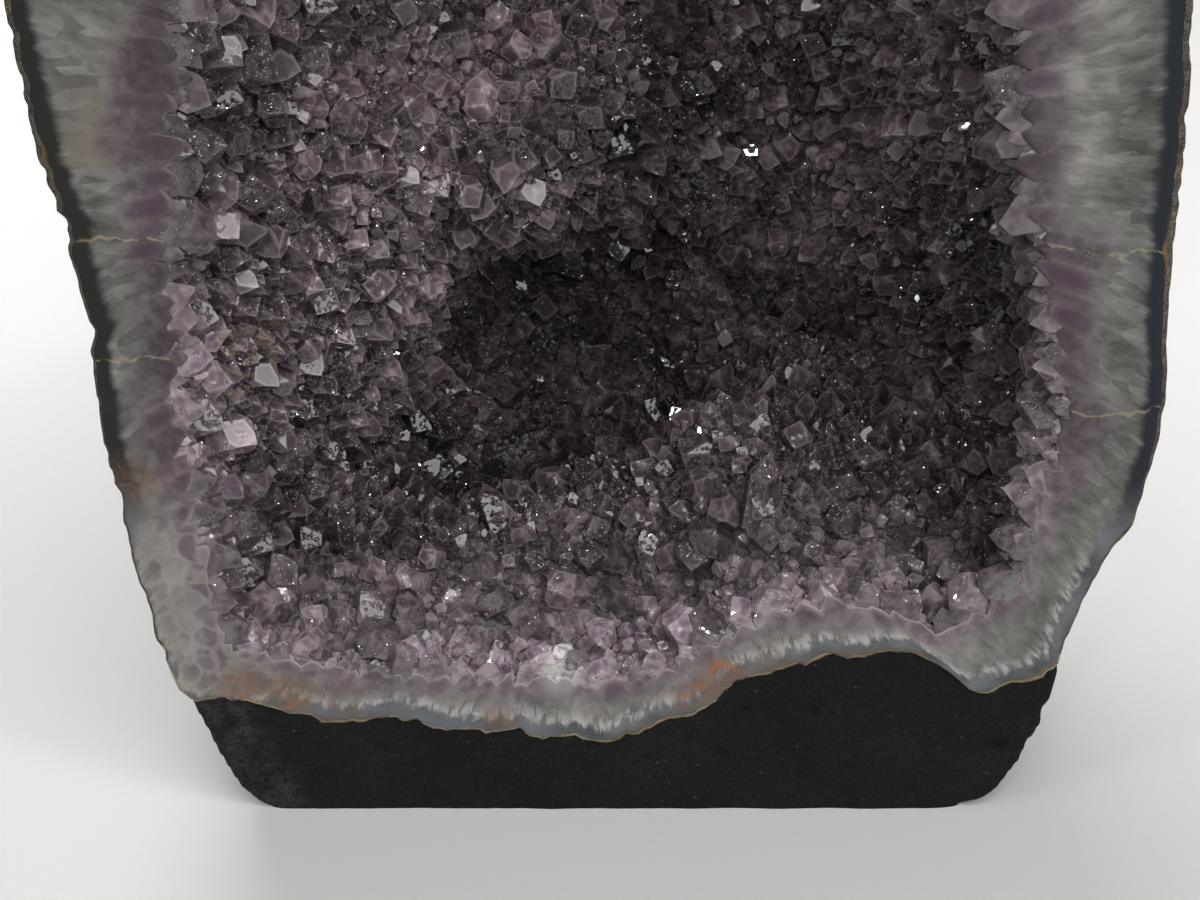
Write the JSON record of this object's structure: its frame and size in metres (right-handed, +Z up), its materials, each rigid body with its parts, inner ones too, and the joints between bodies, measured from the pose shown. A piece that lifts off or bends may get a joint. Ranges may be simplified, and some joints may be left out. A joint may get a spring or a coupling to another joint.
{
  "type": "amethyst cathedral geode",
  "caption": "Tall geode sawn open to a hollow lined with purple amethyst points, banded agate rim, standing upright in a dark cement base.",
  "frame": {"origin": "on the underside of the cement base, below the middle of the geode's box", "axes": "+Z up, -Y out of the sawn and polished face, +X to the right as the hollow is seen"},
  "size_m": [0.2907, 0.203, 0.4328],
  "materials": {
    "banded_rock": "sawn face polished, outer skin rough",
    "amethyst": "natural crystal faces",
    "dark_cement": "matt, fine sandy grain"
  },
  "bodies": {
    "root": {"geode_shell": "banded_rock", "crystal_crust": "amethyst", "cement_base": "dark_cement"}
  },
  "joints": []
}
